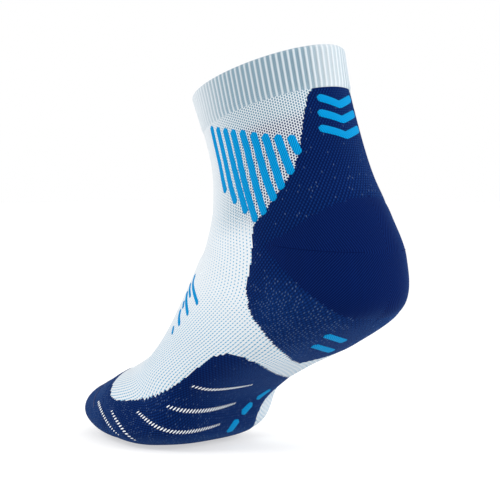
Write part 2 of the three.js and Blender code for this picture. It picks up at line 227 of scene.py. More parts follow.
def new_piece(name, points, faces, material, uv=None, sharp=50):
    """A smooth mesh object from points in millimetres."""
    mesh = bpy.data.meshes.new(name)
    mesh.from_pydata((np.asarray(points) * MM).tolist(), [], [list(map(int, f)) for f in faces])
    if uv is not None:
        layer = mesh.uv_layers.new(name="knit")
        layer.data.foreach_set("uv", np.asarray(uv, np.float32).ravel())
    mesh.shade_smooth()
    mesh.set_sharp_from_angle(angle=math.radians(sharp))
    mesh.materials.append(material)
    return new_object(name, mesh)


def give(piece, name, values):
    """A value, or three, on each point of a piece, for its material."""
    values = np.asarray(values, np.float32)
    kind = "FLOAT" if values.ndim == 1 else "FLOAT_VECTOR"
    made = piece.data.attributes.new(name, kind, "POINT")
    made.data.foreach_set("value" if values.ndim == 1 else "vector", values.ravel())


def corner_map(*corners):
    """The UVs of many faces, from one (x, y) for each of their corners."""
    return np.stack([np.stack(np.broadcast_arrays(x, y), axis=-1) for x, y in corners], axis=-2)


WALES = 288  # stitches round the sock
COURSE = 1.25  # millimetres from one row of stitches to the next
BEND_SPLIT = 7.6  # the v where the pieces of the rear foot meet those of the forefoot
TOE_START = 12.0
TIP = 14.97
OUTER_SIDE = 0.27


def course_lines():
    """The v of every course, evenly spaced on the outer side."""
    rows = [1.0]
    for start, end in ((1.0, BEND_SPLIT), (BEND_SPLIT, TOE_START), (TOE_START, TIP)):
        v = np.linspace(start, end, 400)
        run = np.linalg.norm(np.diff(spot(OUTER_SIDE, v), axis=0), axis=1).cumsum()
        run = np.concatenate([[0], run])
        count = max(2, round(run[-1] / COURSE))
        rows += list(np.interp(np.arange(1, count + 1) / count * run[-1], run, v))
    return np.array(rows)


COURSES = course_lines()
WALE_U = np.arange(WALES) / WALES
GRID_U, GRID_V = np.meshgrid(WALE_U, COURSES)
CELL_U, CELL_V = np.meshgrid(WALE_U + 0.5 / WALES, (COURSES[:-1] + COURSES[1:]) / 2)


def inside(loop, u, v):
    """Whether each (u, v) lies in a closed outline."""
    hit = np.zeros(u.shape, bool)
    for (u0, v0), (u1, v1) in zip(loop, np.roll(loop, -1, axis=0)):
        crosses = (v0 > v) != (v1 > v)
        if crosses.any():
            with np.errstate(divide="ignore", invalid="ignore"):
                at = u0 + (v - v0) / (v1 - v0) * (u1 - u0)
            hit ^= crosses & (u < at)
    return hit


# Outlines of the zones, as (u, v). Those of the heel and its pouch end at u = 0.5 and are mirrored.
HEEL_EDGE = rounded(
    [
        (0.47, 1.0), (0.446, 1.01), (0.436, 1.06), (0.43, 1.16), (0.422, 1.38), (0.403, 1.98),
        (0.39, 2.38), (0.37, 2.78), (0.338, 3.15), (0.297, 3.58), (0.273, 3.88), (0.267, 4.35),
        (0.263, 4.97), (0.258, 5.5), (0.262, 5.85), (0.29, 6.28), (0.333, 6.58), (0.4, 7.02),
        (0.46, 7.38), (0.5, 7.55),
    ]
)
PAD_EDGE = rounded(
    [
        (0.385, 7.47), (0.348, 7.4), (0.323, 7.48), (0.312, 7.72), (0.31, 8.28), (0.302, 8.85),
        (0.285, 9.22), (0.263, 9.57), (0.235, 10.07), (0.223, 10.62), (0.21, 11.35), (0.192, 11.6),
        (0.16, 11.76), (0.085, 11.84), (0.0, 11.88),
    ]
)
ARCH_EDGE = rounded(
    [
        (0.34, 7.37), (0.362, 7.39), (0.388, 7.47), (0.422, 7.64), (0.48, 7.92), (0.542, 8.17),
        (0.62, 8.5), (0.648, 8.85), (0.618, 9.1), (0.598, 9.35), (0.592, 9.7), (0.613, 10.07),
        (0.65, 10.02), (0.677, 9.6), (0.688, 9.15), (0.696, 8.7), (0.704, 8.28),
    ]
)
GORE = rounded([(0.295, 4.47), (0.345, 4.66), (0.4, 4.78), (0.445, 4.83), (0.5, 4.84)])
POUCH_EDGE = rounded(
    [
        (0.5, 3.58), (0.448, 3.65), (0.395, 3.85), (0.34, 4.2), (0.295, 4.5), (0.32, 5.05),
        (0.362, 5.58), (0.408, 5.95), (0.445, 6.14), (0.5, 6.2),
    ]
)


def mirrored(edge):
    """An outline's other half, past the back or sole centre line at u = 0.5."""
    return np.stack([1 - edge[::-1, 0], edge[::-1, 1]], axis=1)


def closed_heel():
    """The heel's whole outline, down the tendon and under the sole on both sides."""
    return np.vstack([[(0.47, 0.9)], HEEL_EDGE, mirrored(HEEL_EDGE), [(0.53, 0.9)]])


FOREFOOT_START = 7.2
FOREFOOT_TOP = 7.36
HEEL_SIDE_END = 7.3
STEP_COURSES = 2  # the tongue's border steps once for this many courses
INNER_WING_CUT = 4 * SPAN - 2  # how many points of the outer wing's border the inner wing lacks


def without_corner_touches(zone):
    """Fills cells so that no two cells of the zone meet only at a corner."""
    zone = zone.copy()
    for _ in range(6):
        right = np.roll(zone, -1, axis=1)
        a, b, c, d = zone[:-1], right[:-1], zone[1:], right[1:]
        fill_b = a & d & ~b & ~c
        fill_a = b & c & ~a & ~d
        if not (fill_a.any() or fill_b.any()):
            break
        zone[:-1] |= fill_a | np.roll(fill_b, 1, axis=1)
    return zone


def tongue_outline():
    """The pale top of the forefoot, with u counted from the top centre line to both sides."""
    inner = np.stack([-PAD_EDGE[::-1, 0], PAD_EDGE[::-1, 1]], axis=1)[:-INNER_WING_CUT]
    start = [(-0.36, FOREFOOT_START), (0.385, FOREFOOT_START)]
    return np.vstack([start, PAD_EDGE, inner, [(-0.316, 8.2), (-0.36, 8.2)]])


def arch_outline():
    """The pale arch, from the outer side under the sole to the inner side."""
    return np.vstack([ARCH_EDGE, [(0.7, 8.28), (0.7, FOREFOOT_START), (0.3, FOREFOOT_START)]])


def zones():
    """Which cells of the knit are heel, heel pouch and forefoot; the rest is pale."""
    heel = inside(closed_heel(), CELL_U, CELL_V)
    pouch = inside(np.vstack([POUCH_EDGE, mirrored(POUCH_EDGE)]), CELL_U, CELL_V)
    stepped = (np.arange(len(COURSES) - 1) // STEP_COURSES) * STEP_COURSES + STEP_COURSES // 2
    stepped_v = CELL_V[np.minimum(stepped, len(CELL_V) - 1)]
    tongue = inside(tongue_outline(), np.where(CELL_U < 0.5, CELL_U, CELL_U - 1), stepped_v)
    arch = inside(arch_outline(), CELL_U, CELL_V)
    pale = ((CELL_V < FOREFOOT_TOP) | (CELL_V >= FOREFOOT_START) & (tongue | arch)) & ~heel
    navy = without_corner_touches(~pale)
    pouch &= heel
    heel = navy & (CELL_V < BEND_SPLIT) & (heel | (CELL_V < HEEL_SIDE_END))
    pouch = without_corner_touches(pouch & heel)
    return heel & ~pouch, pouch, navy & ~heel, ~navy


HEEL_CELLS, POUCH_CELLS, PAD_CELLS, PALE_CELLS = zones()
ABOVE_SPLIT = CELL_V < BEND_SPLIT
RISE_SHARES = (0.45, 0.3, 0.15, 0.1)  # of a zone's lift, stitch by stitch inwards from its edge


def padded_rise(cells, lift):
    """How far each grid point of a zone stands out: nothing at the zone's edge, lift inside it."""
    beside = np.vstack([cells[:1], cells, cells[-1:]])
    level = beside[:-1] & beside[1:]
    level &= np.roll(level, 1, axis=1)
    rise = np.zeros(level.shape)
    for share in RISE_SHARES:
        rise += share * level
        wide = np.vstack([level[:1], level, level[-1:]])
        level = level & wide[:-2] & wide[2:] & np.roll(level, 1, axis=1) & np.roll(level, -1, axis=1)
    return rise * lift


def knit_panel(name, cells, material, lift=0.0, uv_of=None, open_end=False):
    """A zone of the knit as a closed panel whose edges follow its wales and courses."""
    rise = padded_rise(cells, lift)
    j, i = np.nonzero(cells)
    corners = [(j, i), (j + 1, i), (j + 1, i + 1), (j, i + 1)]
    flat = np.stack([a * WALES + b % WALES for a, b in corners], axis=1)
    used, index = np.unique(flat, return_inverse=True)
    quads = index.reshape(flat.shape)
    u, v, out = (x.ravel()[used] for x in (GRID_U, GRID_V, rise))
    points = np.vstack([spot(u, v, out), spot(u, v, -WALL)])
    low = len(used)
    uv = corner_map(*((b, a) for a, b in corners)).astype(float)
    if uv_of:
        uv = uv_of(uv)
    faces = [quads, quads[:, ::-1] + low]
    maps = [uv, uv[:, ::-1]]
    sides = (((0, -1), 0, 1), ((1, 0), 1, 2), ((0, 1), 2, 3), ((-1, 0), 3, 0))
    whole = np.pad(cells, ((1, 1), (0, 0)))
    for (dj, di), a, b in sides:
        bare = ~whole[j + 1 + dj, (i + di) % WALES]
        if open_end and dj == 1:
            bare &= j + 1 < len(COURSES) - 1
        p, q = quads[bare, a], quads[bare, b]
        faces.append(np.stack([q, p, p + low, q + low], axis=1))
        maps.append(np.stack([uv[bare, b], uv[bare, a], uv[bare, a], uv[bare, b]], axis=1))
    if open_end:
        points, cap, cap_uv = toe_dome(points, quads, j, i, low)
        faces += cap
        maps += cap_uv
    loops = np.vstack([m.reshape(-1, 2) for m in maps])
    piece = new_piece(name, points, np.vstack(faces), material, loops)
    dome = len(points) - 2 * low
    return piece, np.concatenate([u, u, np.full(dome, 0.25)]), np.concatenate([v, v, np.full(dome, TIP)])


DOME_STEPS = 6
DOME_HEIGHTS = (1.7, 0.9)  # of the outer and the inner face


def toe_dome(points, quads, j, i, low):
    """Closes the last course over the toe tip with a low dome, outside and inside."""
    order = np.argsort(i[j == len(COURSES) - 2])
    ring = quads[j == len(COURSES) - 2, 1][order]
    faces, maps = [], []
    count = len(ring)
    for shift, height in zip((0, low), DOME_HEIGHTS):
        base = points[ring + shift]
        middle = base.mean(axis=0)
        forward = np.array([-height, 0, 0])
        before = ring + shift
        for k in range(1, DOME_STEPS):
            share = 1 - k / DOME_STEPS
            layer = middle + (base - middle) * share + forward * (1 - share**2)
            now = len(points) + np.arange(count)
            points = np.vstack([points, layer])
            quad = np.stack([before, now, np.roll(now, -1), np.roll(before, -1)], axis=1)
            faces.append(quad if not shift else quad[:, ::-1])
            maps.append(dome_map(count, k, shift))
            before = now
        points = np.vstack([points, middle + forward])
        tip = np.full(count // 2, len(points) - 1)
        a, b, c = before[0::2], before[1::2], np.roll(before, -2)[0::2]
        quad = np.stack([a, tip, c, b], axis=1)
        faces.append(quad if not shift else quad[:, ::-1])
        maps.append(dome_map(count, DOME_STEPS, shift)[::2])
    return points, faces, maps


def dome_map(count, k, shift):
    """The wales and courses of the dome's ring k, each half a course deep."""
    i = np.arange(count, dtype=float)
    j = len(COURSES) - 1 + 0.5 * k
    made = corner_map((i, j - 0.5), (i, j), (i + 1, j), (i + 1, j - 0.5))
    return made[:, ::-1] if shift else made


# ---------------------------------------------------------------- materials


def linear(r, g, b):
    """A colour given as the 0 to 255 values of a screen."""
    s = np.array([r, g, b]) / 255
    made = np.where(s <= 0.04045, s / 12.92, ((s + 0.055) / 1.055) ** 2.4)
    return tuple(float(x) for x in made)


PALE = linear(210, 215, 219)
# grey-blue of the cuff's grooves: partly the ground yarn, partly painted shade of the sock's inside
RIB_GROOVE_YARN_AND_SHADE = linear(92, 128, 146)
SKY_SPECK = linear(24, 142, 186)
TEAL_SPECK = linear(84, 124, 144)
NAVY_SPECK = linear(26, 44, 84)
NAVY = linear(2, 32, 90)
NAVY_DEEP = linear(0, 14, 60)
NAVY_LIGHT = linear(22, 64, 124)
NAVY_POINT = linear(104, 128, 162)
POUCH = linear(0, 17, 70)
POUCH_LINE = linear(16, 50, 112)
BRIGHT = linear(0, 146, 204)
BRIGHT_DEEP = linear(0, 96, 156)
YARN_WHITE = linear(240, 244, 247)
ELASTIC = linear(190, 206, 218)
TERRY_BLUE = linear(34, 58, 112)


class Tree:
    """A node tree that is written as nested calls."""

    def __init__(self, tree):
        self.nodes, self.links = tree.nodes, tree.links

    def put(self, socket, value):
        if isinstance(value, bpy.types.NodeSocket):
            self.links.new(value, socket)
        elif isinstance(value, tuple) and len(value) == 3 and socket.type == "RGBA":
            socket.default_value = (*value, 1)
        else:
            socket.default_value = value

    def add(self, kind, inputs=None, out=0, **settings):
        """One output of a new node with these settings and inputs."""
        node = self.nodes.new(kind)
        for name, value in settings.items():
            setattr(node, name, value)
        for socket, value in (inputs or {}).items():
            self.put(node.inputs[socket], value)
        return node.outputs[out]

    def sum(self, operation, *values):
        return self.add("ShaderNodeMath", dict(enumerate(values)), operation=operation)

    def plus(self, a, b):
        return self.sum("ADD", a, b)

    def minus(self, a, b):
        return self.sum("SUBTRACT", a, b)

    def times(self, a, b):
        return self.sum("MULTIPLY", a, b)

    def times_plus(self, a, b, c):
        return self.sum("MULTIPLY_ADD", a, b, c)


class Finish(Tree):
    """A knit's or a yarn's material."""

    def __init__(self, name, roughness, sheen, sheen_roughness, tint):
        self.material = bpy.data.materials.new(name)
        self.material.use_nodes = True
        super().__init__(self.material.node_tree)
        self.shader = self.nodes["Principled BSDF"]
        fixed = {
            "Roughness": roughness,
            "Sheen Weight": sheen,
            "Sheen Roughness": sheen_roughness,
            "Sheen Tint": (*tint, 1),
            "Specular IOR Level": 0.04,
        }
        for socket, value in fixed.items():
            self.shader.inputs[socket].default_value = value

    def mixed(self, share, a, b):
        return self.add("ShaderNodeMix", {0: share, 6: a, 7: b}, 2, data_type="RGBA")

    def eased(self, value, low, high):
        steps = dict(enumerate((value, low, high, 0.0, 1.0)))
        return self.add("ShaderNodeMapRange", steps, interpolation_type="SMOOTHSTEP")

    def carried(self, name, out="Fac"):
        """What give() put on the piece's points under this name."""
        return self.add("ShaderNodeAttribute", out=out, attribute_name=name)

    def split(self, vector):
        return self.add("ShaderNodeSeparateXYZ", {0: vector}).node.outputs

    def wale_and_course(self):
        return tuple(self.split(self.add("ShaderNodeUVMap", uv_map="knit")))[:2]

    def cloud(self, size, detail=2.0):
        """A soft random field in the piece's own space; size is that of its patches, in metres."""
        where = self.add("ShaderNodeTexCoord", out="Object")
        return self.add("ShaderNodeTexNoise", {"Vector": where, "Scale": 1 / size, "Detail": detail})

    def jersey(self, wale, course):
        """The height of plain stitches: a column of small V shapes on each wale."""
        side = self.times(self.sum("ABSOLUTE", self.minus(self.sum("FRACT", wale), 0.5)), 2.0)
        turn = self.times(self.plus(course, self.times(side, -0.5)), 2 * math.pi)
        wave = self.times_plus(self.sum("COSINE", turn), 0.3, 0.7)
        hollow = self.minus(1.0, self.sum("POWER", side, 2.4))
        return self.times(wave, hollow)

    def bumped(self, height, depth, strength=1.0):
        made = self.add("ShaderNodeBump", {"Height": height, "Distance": depth, "Strength": strength})
        self.put(self.shader.inputs["Normal"], made)

    def coloured(self, colour, height, painted_shade_floor, patch=0.06):
        """The finished colour: painted shade makes it darker where the relief lies low between the
        stitches or fibres, and it is a little uneven from patch to patch.
        """
        # painted shade: the colour falls to the floor share where the height is lowest
        depth = self.times_plus(height, 1 - painted_shade_floor, painted_shade_floor)
        uneven = self.times_plus(self.cloud(0.012), 2 * patch, 1 - patch)
        painted_shade_and_tone = self.times(depth, uneven)
        made = self.add("ShaderNodeVectorMath", {0: colour, 3: painted_shade_and_tone}, operation="SCALE")
        self.put(self.shader.inputs["Base Color"], made)


def lattice(f, wale, course, across, along, dash, core, edge):
    """Specks on a staggered lattice, 1 within core millimetres and 0 beyond edge, and their cell."""
    pair = f.times(wale, 1 / across)
    stagger = f.times(f.sum("MODULO", f.sum("FLOOR", pair), 2.0), 0.5)
    row = f.plus(f.times(course, 1 / along), stagger)
    x = f.times(f.minus(f.sum("FRACT", pair), 0.5), across * 0.95)
    y = f.times(f.minus(f.sum("FRACT", row), 0.5), along * COURSE)
    y = f.times(y, f.minus(1.0, dash))
    square = f.plus(f.times(x, x), f.times(y, y))
    return f.minus(1.0, f.eased(f.sum("SQRT", square), core, edge)), pair, row


def pale_knit():
    """The pale mesh, with sky-blue dashes and a darker net where specks() puts them."""
    f = Finish("pale_mesh_knit", 0.9, 0.06, 0.5, (0.9, 0.95, 1.0))
    wale, course = f.wale_and_course()
    shown = f.split(f.carried("speck_shape", "Vector"))
    sky = f.times(lattice(f, wale, course, 2.4, 1.6, shown[1], 0.16, 0.56)[0], shown[0])
    dark = f.times(lattice(f, wale, course, 1.5, 1.2, 0.0, 0.36, 0.76)[0], shown[2])
    colour = f.mixed(sky, PALE, SKY_SPECK)
    colour = f.mixed(dark, colour, f.carried("speck_tint", "Vector"))
    height = f.jersey(wale, course)
    deep = f.minus(height, f.times(f.sum("MAXIMUM", sky, dark), 0.8))
    f.bumped(deep, 0.0002, 0.8)
    f.coloured(colour, height, 0.88, 0.02)
    return f.material


def rib_knit():
    """The cuff's ribs, with a finer knit and a grey-blue ground in the grooves: partly the ground yarn,
    partly painted shade of the dark inside that shows through the stretched ribs.
    """
    f = Finish("cuff_rib_knit", 0.9, 0.08, 0.5, (0.9, 0.95, 1.0))
    wale, course = f.wale_and_course()
    ground = f.carried("rib_groove_yarn_and_shade")
    fine = f.times(wale, 4.0)
    grain = lattice(f, fine, course, 1.0, 1.0, 0.0, 0.15, 0.55)[0]
    # painted shade: the grooves' grey-blue stands partly for the shaded inside of the cuff
    share = f.times(ground, f.times_plus(grain, 0.55, 0.6))
    colour = f.mixed(share, PALE, RIB_GROOVE_YARN_AND_SHADE)
    height = f.jersey(fine, course)
    f.bumped(height, 0.00015, 0.8)
    f.coloured(colour, height, 0.88, 0.02)
    return f.material


def navy_knit():
    """The navy knit: a fine twill, with single light stitches where light_points() puts them."""
    f = Finish("navy_plated_knit", 0.9, 0.22, 0.3, (0.1, 0.35, 1.0))
    wale, course = f.wale_and_course()
    points = f.carried("points")
    forward = f.sum("COSINE", f.times(f.plus(wale, course), math.pi))
    backward = f.sum("COSINE", f.times(f.minus(wale, course), math.pi))
    twill = f.times_plus(forward, 0.32, 0.5)
    twill = f.times_plus(backward, 0.18, twill)
    colour = f.mixed(f.eased(twill, 0.05, 0.95), NAVY_DEEP, NAVY)
    colour = f.mixed(f.times(f.eased(twill, 0.72, 1.0), 0.55), colour, NAVY_LIGHT)
    colour = f.mixed(f.times(points, 0.3), colour, NAVY_LIGHT)
    near, pair, row = lattice(f, wale, course, 1.5, 1.5, 0.5, 0.1, 0.34)
    where = f.add("ShaderNodeCombineXYZ", {0: f.sum("FLOOR", pair), 1: f.sum("FLOOR", row)})
    chance = f.add("ShaderNodeTexWhiteNoise", {"Vector": where}, noise_dimensions="2D")
    lucky = f.sum("GREATER_THAN", f.plus(chance, points), 1.0)
    mask = f.times(f.times(near, lucky), 0.4)
    colour = f.mixed(mask, colour, NAVY_POINT)
    height = f.jersey(wale, course)
    f.bumped(f.plus(height, f.times(twill, 0.6)), 0.00025, 0.9)
    f.coloured(colour, height, 0.7, 0.08)
    return f.material


def pouch_knit():
    """The heel pouch's fine ridges."""
    f = Finish("heel_pouch_knit", 0.9, 0.22, 0.3, (0.1, 0.35, 1.0))
    wale, course = f.wale_and_course()
    line = f.sum("COSINE", f.times(wale, 2 * math.pi))
    ridge = f.times_plus(line, 0.5, 0.5)
    colour = f.mixed(ridge, NAVY_DEEP, POUCH)
    colour = f.mixed(f.times(f.eased(ridge, 0.6, 1.0), 0.45), colour, POUCH_LINE)
    height = f.jersey(wale, course)
    f.bumped(f.plus(f.times(height, 0.5), ridge), 0.0002, 0.8)
    f.coloured(colour, height, 0.8, 0.05)
    return f.material


def bright_knit():
    """The bright blue of the raised marks."""
    f = Finish("bright_inlay_knit", 0.9, 0.05, 0.5, (0.3, 0.7, 1.0))
    wale, course = f.wale_and_course()
    forward = f.sum("COSINE", f.times(f.plus(wale, course), 1.3 * math.pi))
    twill = f.times_plus(forward, 0.5, 0.5)
    colour = f.mixed(f.eased(twill, -0.1, 0.8), BRIGHT_DEEP, BRIGHT)
    height = f.jersey(wale, course)
    f.bumped(height, 0.0002, 0.8)
    f.coloured(colour, height, 0.84, 0.04)
    return f.material


def yarn(name, colour, painted_shade_floor=0.8):
    """A yarn of fine fibres, with painted shade where the fibres lie low."""
    f = Finish(name, 0.85, 0.3, 0.5, (1.0, 1.0, 1.0))
    fibres = f.eased(f.cloud(0.0004, 3.0), 0.35, 0.65)
    f.bumped(fibres, 0.00008, 0.7)
    f.coloured(colour, fibres, painted_shade_floor, 0.05)
    return f.material


PALE_KNIT = pale_knit()
RIB_KNIT = rib_knit()
NAVY_KNIT = navy_knit()
POUCH_KNIT = pouch_knit()
BRIGHT_KNIT = bright_knit()
WHITE_YARN = yarn("white_inlay_yarn", YARN_WHITE, 0.92)
NAVY_YARN = yarn("navy_linking_yarn", NAVY, 0.6)
ELASTIC_YARN = yarn("covered_elastic_yarn", ELASTIC)
TERRY_YARN = yarn("terry_yarn", TERRY_BLUE, 0.55)

# ---------------------------------------------------------------- how the pieces are held: baked in place, or hung on the leg


def bend_at_ankle(piece):
    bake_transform(piece)


def bend_at_ball(piece):
    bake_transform(piece)


def ride_leg(piece):
    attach(piece, "leg")


def placed(piece, move, slot, *nodes):
    """Says how a piece moves and the CAD nodes that it replaces. The slot argument is not used."""
    move(piece)
    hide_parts(*nodes)


def numbered(stem, count):
    return [f"{stem}_{k}" for k in range(1, count + 1)]


# ---------------------------------------------------------------- knit panels


def specks(piece, u, v):
    """Where the pale mesh shows its second yarn: sky-blue dashes below, a darker net above."""
    away = np.minimum(u, 1 - u)
    net = (1 - smooth(3.3, 4.2, v)) * smooth(0.1, 0.27, away)
    between_ribs = smooth(1.35, 1.75, v) * (1 - smooth(3.6, 4.3, v)) * smooth(0.235, 0.29, away)
    strength = smooth(2.2, 4.4, v) * smooth(0.05, 0.2, away) * (1 - between_ribs)
    dash = 0.1 + 0.4 * smooth(5.5, 7.2, v)
    net = np.maximum(net, between_ribs)
    give(piece, "speck_shape", np.stack([strength, dash, net], axis=1))
    tint = np.outer(1 - between_ribs, TEAL_SPECK) + np.outer(between_ribs, NAVY_SPECK)
    give(piece, "speck_tint", tint)


def light_points(piece, u, v):
    """Where single light stitches show through the navy knit."""
    away = np.minimum(u, 1 - u)
    low_heel = smooth(5.0, 6.0, v) * (1 - smooth(7.1, 7.6, v)) * smooth(0.26, 0.32, away)
    low_heel = low_heel * (1 - smooth(0.43, 0.48, away))
    leg = 0.06 * smooth(2.6, 3.4, v) * (1 - smooth(4.0, 4.6, v)) * smooth(0.28, 0.34, away)
    pad = 0.3 * smooth(8.2, 9.5, v)
    toe = 0.5 * smooth(11.8, 12.3, v) * (1 - smooth(0.2, 0.3, away))
    give(piece, "points", 0.02 + 0.6 * low_heel + leg + pad + toe)


def pouch_courses(uv):
    """The short courses of the heel pouch, mitred along the gore line."""
    u, j = uv[..., 0] / WALES, uv[..., 1]
    v = np.interp(j, np.arange(len(COURSES)), COURSES)
    away = np.minimum(u, 1 - u)
    gore_v = np.interp(away, GORE[:, 0], GORE[:, 1])
    above, below, line_gap, stitch_gap = 0.55, -0.95, 1.45, 1.2
    run = (away - 0.29) * girth(4.8)
    per_section = np.linalg.norm(spot(away, 5.3) - spot(away, 4.3), axis=-1)
    rise = (gore_v - v) * per_section
    line = (run + rise * np.where(rise > 0, above, below)) / line_gap
    return np.stack([line, (v * per_section * 0.8 + 0.3 * run) / stitch_gap], axis=-1)


def leg_and_heel():
    piece, u, v = knit_panel("pale_leg_knit", PALE_CELLS & ABOVE_SPLIT, PALE_KNIT)
    specks(piece, u, v)
    placed(piece, bend_at_ankle, "pale_knit", "leg_panel", "ankle_flex_front", "midfoot_panel")

    piece, u, v = knit_panel("navy_heel_knit", HEEL_CELLS, NAVY_KNIT, NAVY_LIFT)
    light_points(piece, u, v)
    placed(piece, bend_at_ankle, "navy_knit", "achilles_panel", "ankle_flex_back")

    piece, _, _ = knit_panel("heel_pouch_knit", POUCH_CELLS, POUCH_KNIT, NAVY_LIFT, pouch_courses)
    placed(piece, bend_at_ankle, "navy_knit", "heel_pouch")


def forefoot():
    piece, u, v = knit_panel("pale_forefoot_knit", PALE_CELLS & ~ABOVE_SPLIT, PALE_KNIT)
    specks(piece, u, v)
    placed(piece, bend_at_ball, "pale_knit", "ball_flex_top", "tongue_panel")

    sole = PAD_CELLS & (CELL_V < TOE_START)
    piece, u, v = knit_panel("navy_forefoot_knit", sole, NAVY_KNIT, NAVY_LIFT)
    light_points(piece, u, v)
    nodes = ("forefoot_pad", "ball_flex_sole", "outer_wing", "inner_wing")
    placed(piece, bend_at_ball, "navy_knit", *nodes)

    toe = PAD_CELLS & (CELL_V > TOE_START)
    piece, u, v = knit_panel("toe_cap_knit", toe, NAVY_KNIT, NAVY_LIFT, open_end=True)
    light_points(piece, u, v)
    placed(piece, bend_at_ball, "navy_knit", "toe_cap")


RIBS = 84
PER_RIB = 8  # points across one rib
RIB_RISE = 0.6
CUFF_THICK = 3.1
PLY = 0.9
FOLD_V, FOLD_REACH = 0.055, 0.07  # where the turned edge starts, and how far up it reaches, in v


def cuff():
    """The folded cuff: two plies round a turned edge, with raised ribs on both faces."""
    down = np.linspace(1.0, 0.07, 16)
    profile = [(v, 0.0, 1.0) for v in down]
    for k in range(1, 8):
        a = math.pi * k / 8
        out = -CUFF_THICK / 2 + CUFF_THICK / 2 * math.cos(a)
        profile.append((FOLD_V - FOLD_REACH * math.sin(a), out, abs(math.cos(a)) ** 0.5))
    profile += [(v, -CUFF_THICK, 0.7) for v in down[::-1]]
    profile += [(v, PLY - CUFF_THICK, 0) for v in (1.0, 0.5, 0.09)]
    profile += [(v, -PLY, 0) for v in (0.09, 0.5, 1.0)]
    v, out, relief = (np.array(x) for x in zip(*profile))
    n = RIBS * PER_RIB
    turn = np.arange(n) / PER_RIB
    wave = np.cos(2 * np.pi * turn)
    ridge = smooth(-0.3, 0.9, wave)
    u = np.arange(n) / n
    fade = 1 - smooth(0.86, 1.0, v)
    lift = ridge[:, None] * (relief * fade * RIB_RISE)[None, :]
    sign = np.where(out > -CUFF_THICK / 2, 1.0, -1.0)
    count = len(profile)
    place_u = np.repeat(u, count)
    points = spot(place_u, np.tile(v, n), (out[None, :] + sign * lift).ravel())
    i, k = (x.ravel() for x in np.meshgrid(np.arange(n), np.arange(count), indexing="ij"))
    i1, k1 = (i + 1) % n, (k + 1) % count
    faces = np.stack([i * count + k, i1 * count + k, i1 * count + k1, i * count + k1], axis=1)
    step = np.linalg.norm(np.diff(points[:count], axis=0), axis=1)
    run = np.concatenate([[0], step.cumsum(), [step.sum() + 1.0]])
    a, b = i / PER_RIB, (i + 1) / PER_RIB
    uv = corner_map((a, run[k]), (b, run[k]), (b, run[k + 1]), (a, run[k + 1]))
    piece = new_piece("cuff_rib_knit", points, faces, RIB_KNIT, uv.reshape(-1, 2), 70)
    away = np.minimum(u, 1 - u)
    # The grey-blue in the grooves is partly the ground yarn and partly painted shade of the dark inside;
    # it is strongest on the sides and weakest at the front and back.
    shown = 0.25 + 0.75 * smooth(0.1, 0.28, away) * (1 - 0.75 * smooth(0.42, 0.49, away))
    ground = (1.1 - 0.8 * smooth(-0.1, 0.85, wave)) * shown
    give(piece, "rib_groove_yarn_and_shade", np.repeat(ground, count))
    placed(piece, ride_leg, "rib_knit", "cuff_welt")


# ---------------------------------------------------------------- raised marks


STRIP_ACROSS = 6  # faces across a strip
STRIP_STEP = 1.2  # millimetres along it
TOP_SUNK, EDGE_SUNK, BASE_SUNK = 0.05, 0.08, 0.4  # how deep a strip's faces lie in the knit


def raised(name, lines, widths, material, height, ends=1.0, ground=0.0):
    """Closed rounded strips along lines of (u, v), joined in one piece; ground is the knit's lift."""
    across = STRIP_ACROSS
    points, faces, maps = [], [], []
    base = 0

    def add(corners, uv, flip):
        quad = np.stack(corners, axis=1)
        faces.append(quad[:, ::-1] if flip else quad)
        maps.append(uv[:, ::-1] if flip else uv)

    for line, wide in zip(lines, widths):
        path = rounded(line, 12) if len(line) > 2 else np.linspace(line[0], line[-1], 40)
        p = spot(path[:, 0], path[:, 1])
        run = np.concatenate([[0], np.linalg.norm(np.diff(p, axis=0), axis=1).cumsum()])
        count = max(6, round(run[-1] / STRIP_STEP))
        at = np.linspace(0, run[-1], count + 1)
        u, v = (np.interp(at, run, path[:, k]) for k in (0, 1))
        centre = spot(u, v)
        way = np.gradient(centre, axis=0)
        way /= np.linalg.norm(way, axis=1, keepdims=True)
        side = np.cross(outward(u, v), way)
        from_end = np.minimum(at, run[-1] - at)
        taper = np.sqrt(np.clip(1 - (1 - np.clip(from_end / (ends * wide / 2), 0, 1)) ** 2, 0.04, 1))
        eps = 0.002
        du = (spot(u + eps, v) - spot(u - eps, v)) / (2 * eps)
        dv = (spot(u, v + eps * 5) - spot(u, v - eps * 5)) / (10 * eps)
        for top in (1, 0):
            for k in range(across + 1):
                s = 2 * k / across - 1
                off = side * (s * wide / 2 * taper)[:, None]
                uu, vv = shifted(u, v, du, dv, off)
                rise = height * (1 - s**4) * taper - TOP_SUNK
                if abs(s) == 1 or not top:
                    rise = np.full(len(u), -EDGE_SUNK if top else -BASE_SUNK)
                points.append(spot(uu, vv, rise + ground))
        m, rows = count + 1, across + 1
        for under in (0, 1):
            for k in range(across):
                a = base + (under * rows + k) * m + np.arange(count)
                add([a, a + 1, a + m + 1, a + m], strip_map(at, k, wide), under)
        for k in (0, across):
            a = base + k * m + np.arange(count)
            b = a + rows * m
            add([a, b, b + 1, a + 1], strip_map(at, k, wide), k)
        for end in (0, count):
            a = base + np.arange(across) * m + end
            b = a + rows * m
            add([a, a + m, b + m, b], np.zeros((across, 4, 2)), end)
        base += 2 * rows * m
    loops = np.vstack([x.reshape(-1, 2) for x in maps])
    return new_piece(name, np.vstack(points), np.vstack(faces), material, loops, 60)


def shifted(u, v, du, dv, off):
    """The (u, v) that lies off by a small vector along the knit."""
    a, b, c = (du * du).sum(1), (du * dv).sum(1), (dv * dv).sum(1)
    p, q = (du * off).sum(1), (dv * off).sum(1)
    d = a * c - b * b
    return u + (p * c - q * b) / d, v + (q * a - p * b) / d


def strip_map(at, k, wide):
    """The UVs, in millimetres, of a strip's faces between its lines k and k + 1."""
    x0, x1 = k / STRIP_ACROSS * wide, (k + 1) / STRIP_ACROSS * wide
    return corner_map((x0, at[:-1]), (x0, at[1:]), (x1, at[1:]), (x1, at[:-1]))


